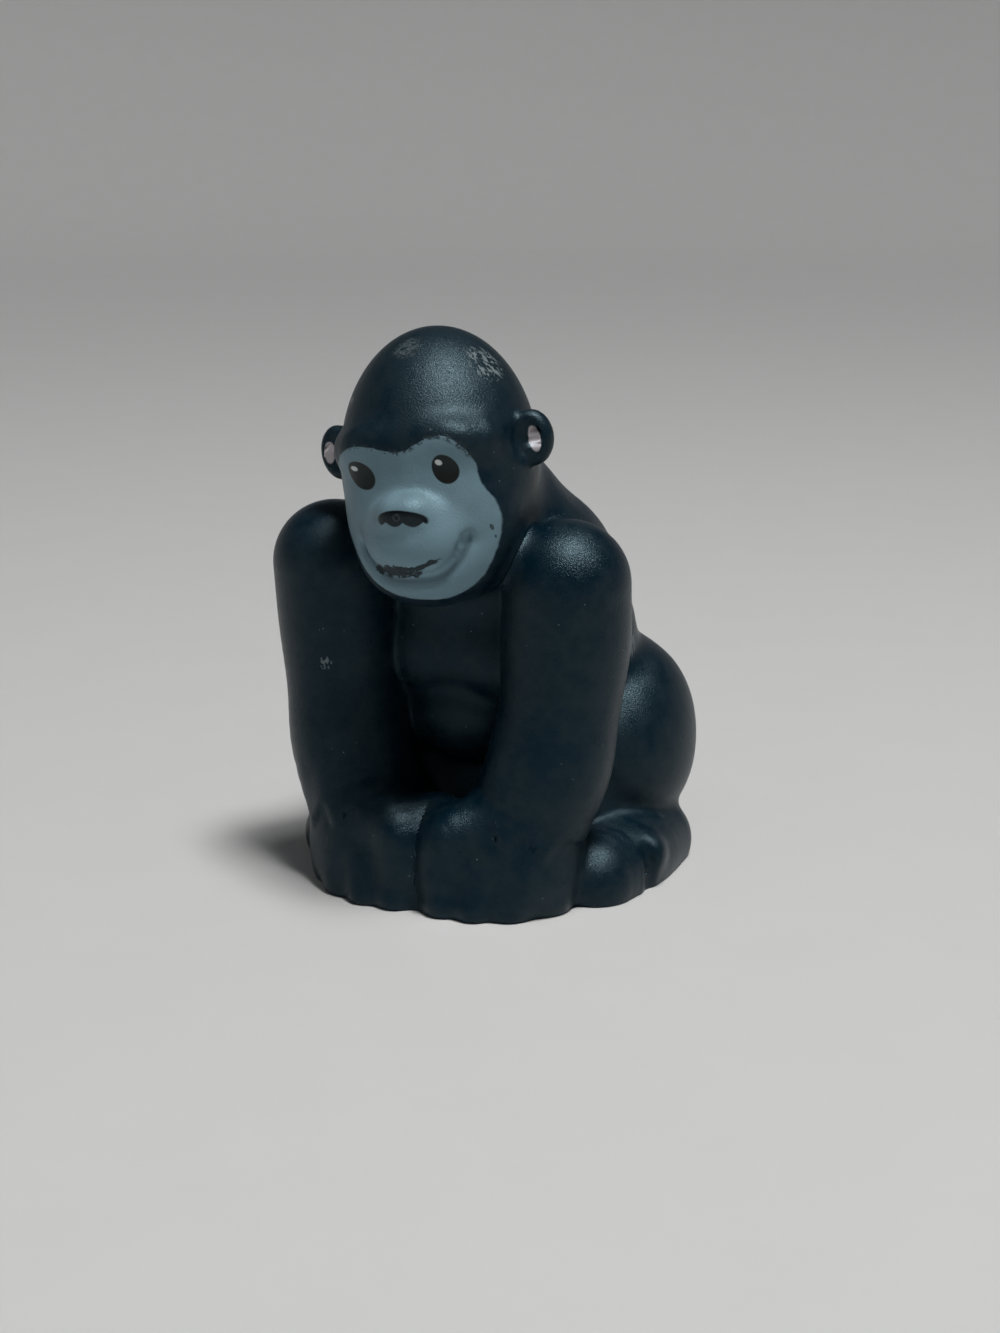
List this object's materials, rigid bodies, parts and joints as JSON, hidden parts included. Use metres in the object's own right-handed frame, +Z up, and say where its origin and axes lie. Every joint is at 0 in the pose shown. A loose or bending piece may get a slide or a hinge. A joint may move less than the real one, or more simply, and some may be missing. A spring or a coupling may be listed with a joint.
{
  "type": "gorilla figurine",
  "caption": "Crouching gorilla figurine moulded in one piece of soft foam, standing on its knuckles and feet, with a flat base.",
  "frame": {"origin": "middle of the footprint's bounding box, on the flat base", "axes": "+Z up, -Y the way the face looks, +X the gorilla's own left"},
  "size_m": [0.0632, 0.069, 0.0866],
  "materials": {
    "painted_foam": "satin blue-black paint over soft foam, grey-blue face"
  },
  "bodies": {
    "root": {"gorilla_figurine": "painted_foam"}
  },
  "joints": []
}
